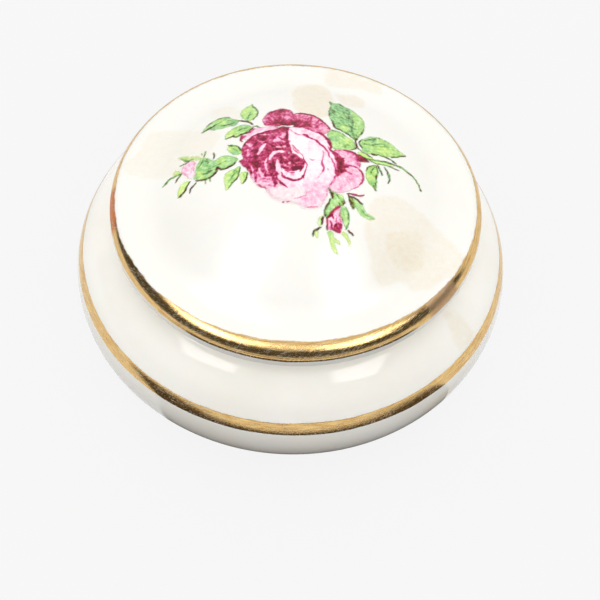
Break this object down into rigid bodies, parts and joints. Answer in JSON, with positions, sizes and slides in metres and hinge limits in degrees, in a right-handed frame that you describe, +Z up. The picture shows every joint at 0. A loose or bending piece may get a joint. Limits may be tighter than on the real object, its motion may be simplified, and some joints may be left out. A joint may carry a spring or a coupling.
{
  "type": "porcelain trinket box",
  "caption": "Round bulging porcelain trinket box with a loose domed lid that lifts off, gilded bands and a printed rose spray on the lid.",
  "frame": {"origin": "centre of the foot ring's resting face, on the axis of the bowl and the lid", "axes": "+Z up along the axis of revolution; -Y is the side that the rose spray's buds point to"},
  "size_m": [0.0702, 0.0702, 0.0355],
  "materials": {
    "glazed_porcelain_body": "clear glossy glaze over warm white porcelain",
    "glazed_porcelain_lid": "clear glossy glaze over warm white porcelain, faint brown age stains",
    "fired_gold_body": "hand-banded fired gold, glossy, slightly worn",
    "fired_gold_lid": "hand-banded fired gold, brushed and worn along its edges",
    "rose_overglaze_colours": "overglaze transfer in crimson, pink and greens, glossy"
  },
  "bodies": {
    "bowl": {"porcelain_body": "glazed_porcelain_body", "body_band_gilding": "fired_gold_body"},
    "lid": {"porcelain_lid": "glazed_porcelain_lid", "lid_edge_gilding": "fired_gold_lid", "rose_transfer": "rose_overglaze_colours"}
  },
  "joints": [
    {"name": "lid_lift", "type": "slide", "parent": "bowl", "child": "lid", "axis": [0, 0, 1], "range_m": [0, 0.04]}
  ]
}
